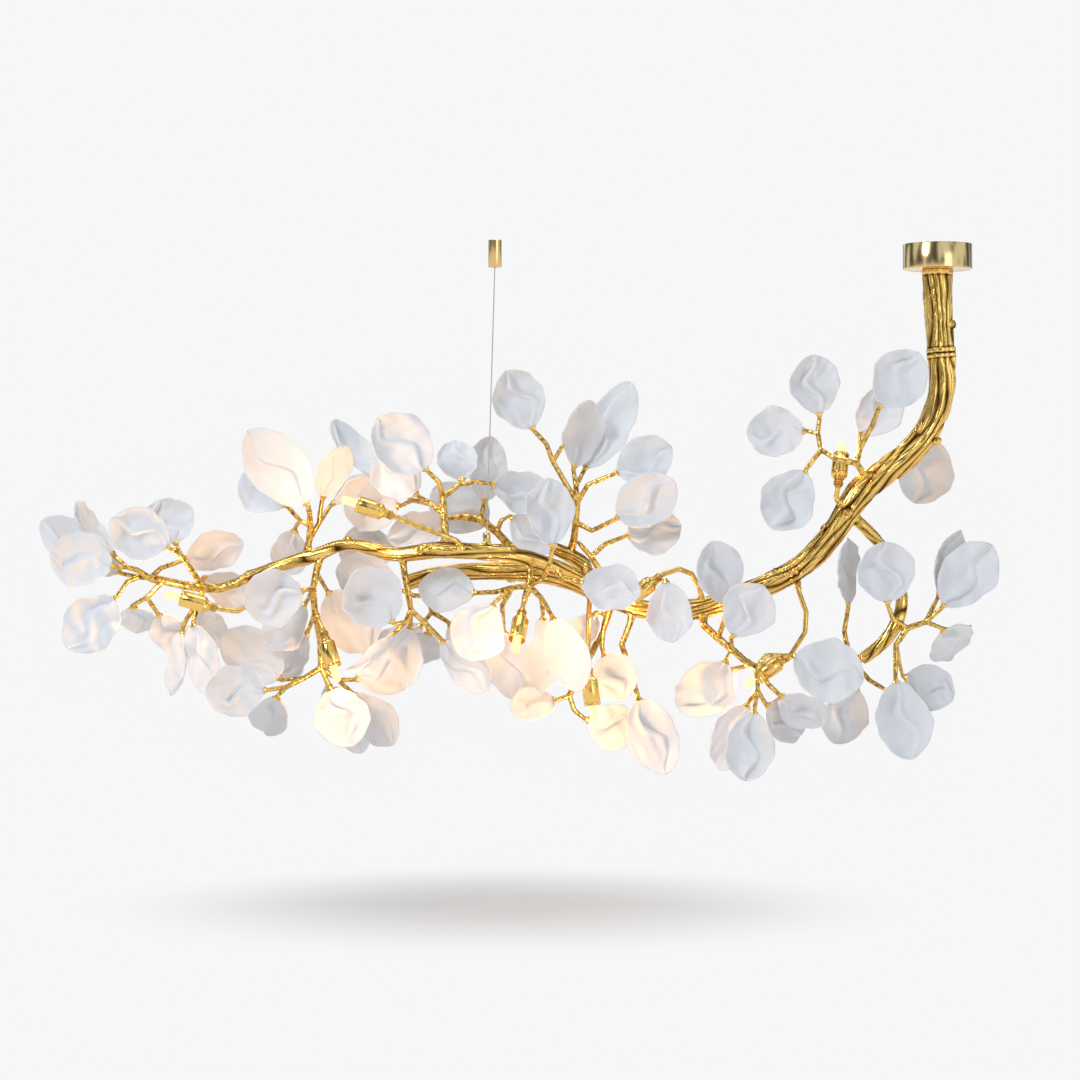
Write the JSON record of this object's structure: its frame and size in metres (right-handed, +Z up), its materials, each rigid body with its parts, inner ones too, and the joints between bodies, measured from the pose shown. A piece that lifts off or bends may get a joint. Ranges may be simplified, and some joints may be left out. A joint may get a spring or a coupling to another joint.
{
  "type": "branch chandelier",
  "caption": "Long hanging bough of cast brass under a round ceiling canopy and one wire, with cupped porcelain petals on forked twigs and small capsule lamps in brass sleeves.",
  "frame": {"origin": "centre of the canopy's ceiling face", "axes": "+Z up into the ceiling, +X along the bough towards the canopy's end, -Y towards the viewer"},
  "size_m": [1.544, 0.2706, 0.8537],
  "materials": {
    "cast_brass": "polished cast, bark relief",
    "satin_brass": "brushed",
    "porcelain": "bisque",
    "lamp_glass": "clear",
    "lampholder": "steatite",
    "zinc_steel": "zinc plated",
    "terminal": "moulded",
    "wire_steel": "bright"
  },
  "bodies": {
    "chandelier": {"trunk_stem": "cast_brass", "trunk_bend": "cast_brass", "trunk_elbow": "cast_brass", "trunk_foot": "cast_brass", "main_limb": "cast_brass", "front_limb": "cast_brass", "left_limb": "cast_brass", "upper_limb": "cast_brass", "right_limb": "cast_brass", "twigs_far_left": "cast_brass", "twigs_upper_left": "cast_brass", "twigs_top_left": "cast_brass", "twigs_rear_top": "cast_brass", "twigs_top_middle": "cast_brass", "twigs_lower_left": "cast_brass", "twigs_middle_left": "cast_brass", "twigs_lower_end": "cast_brass", "twigs_middle": "cast_brass", "twigs_lower_middle": "cast_brass", "twigs_trunk_front": "cast_brass", "twigs_trunk_top": "cast_brass", "twigs_right_end": "cast_brass", "twigs_right_fork": "cast_brass", "twigs_short": "cast_brass", "petal_cups": "cast_brass", "lamp_arms": "cast_brass", "lamp_sleeves": "cast_brass", "canopy": "satin_brass", "wire_cup": "satin_brass", "petals_far_left": "porcelain", "petals_upper_left": "porcelain", "petals_lower_left": "porcelain", "petals_top": "porcelain", "petals_middle_left": "porcelain", "petals_middle": "porcelain", "petals_lower_middle": "porcelain", "petals_trunk_front": "porcelain", "petals_trunk_top": "porcelain", "petals_right": "porcelain", "lampholders": "lampholder", "ceiling_bracket": "zinc_steel", "canopy_side_screws": "zinc_steel", "lock_nut": "zinc_steel", "stem_nipple": "zinc_steel", "terminal_block": "terminal", "wire_base": "satin_brass", "wire_ferrule": "satin_brass", "wire_gripper": "satin_brass", "suspension_wire": "wire_steel"},
    "lamp_front": {"bulb_front": "lamp_glass"},
    "lamp_lower_left": {"bulb_lower_left": "lamp_glass"},
    "lamp_far_left": {"bulb_far_left": "lamp_glass"},
    "lamp_middle": {"bulb_middle": "lamp_glass"},
    "lamp_lower_middle": {"bulb_lower_middle": "lamp_glass"},
    "lamp_gooseneck": {"bulb_gooseneck": "lamp_glass"},
    "lamp_trunk_foot": {"bulb_trunk_foot": "lamp_glass"},
    "lamp_trunk_top": {"bulb_trunk_top": "lamp_glass"}
  },
  "joints": [
    {"name": "lamp_front_pull", "type": "slide", "parent": "chandelier", "child": "lamp_front", "axis": [-0.9482, -0.0333, 0.3161], "range_m": [0, 0.012]},
    {"name": "lamp_lower_left_pull", "type": "slide", "parent": "chandelier", "child": "lamp_lower_left", "axis": [0.2952, -0.1968, -0.9349], "range_m": [0, 0.012]},
    {"name": "lamp_far_left_pull", "type": "slide", "parent": "chandelier", "child": "lamp_far_left", "axis": [-0.9627, -0.0169, 0.2702], "range_m": [0, 0.012]},
    {"name": "lamp_middle_pull", "type": "slide", "parent": "chandelier", "child": "lamp_middle", "axis": [-0.1333, -0.6667, -0.7333], "range_m": [0, 0.012]},
    {"name": "lamp_lower_middle_pull", "type": "slide", "parent": "chandelier", "child": "lamp_lower_middle", "axis": [0.1198, -0.0342, -0.9922], "range_m": [0, 0.012]},
    {"name": "lamp_gooseneck_pull", "type": "slide", "parent": "chandelier", "child": "lamp_gooseneck", "axis": [-0.808, 0, -0.5892], "range_m": [0, 0.012]},
    {"name": "lamp_trunk_foot_pull", "type": "slide", "parent": "chandelier", "child": "lamp_trunk_foot", "axis": [-0.8268, -0.0312, -0.5616], "range_m": [0, 0.012]},
    {"name": "lamp_trunk_top_pull", "type": "slide", "parent": "chandelier", "child": "lamp_trunk_top", "axis": [0.1374, 0.5494, 0.8242], "range_m": [0, 0.012]}
  ]
}
